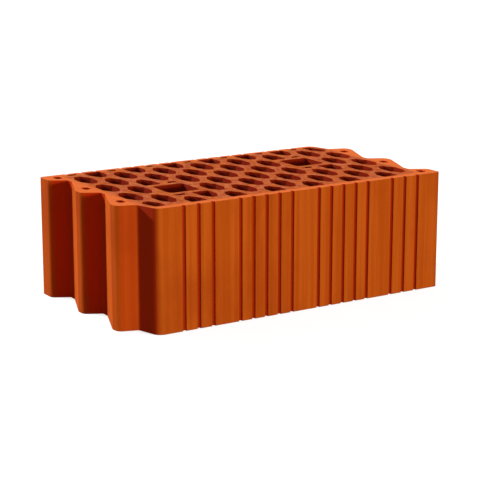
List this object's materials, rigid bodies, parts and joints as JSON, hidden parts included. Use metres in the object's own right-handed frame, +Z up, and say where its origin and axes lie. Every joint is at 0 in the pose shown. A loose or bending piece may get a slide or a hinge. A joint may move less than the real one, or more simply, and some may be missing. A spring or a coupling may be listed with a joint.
{
  "type": "hollow clay brick",
  "caption": "Large perforated fired clay brick with interlocking tongue-and-groove ends, plaster grooves on both long faces and hand holes through a staggered lattice.",
  "frame": {"origin": "centre of the bottom bed face, on the floor", "axes": "+X along the length towards the end whose corner tongue is at the front, +Y across the width towards the back face, +Z up along the holes"},
  "size_m": [0.46, 0.25, 0.155],
  "materials": {
    "fired_clay": "matt unglazed fired clay with fine drag lines from the die"
  },
  "bodies": {
    "root": {"clay_block": "fired_clay"}
  },
  "joints": []
}
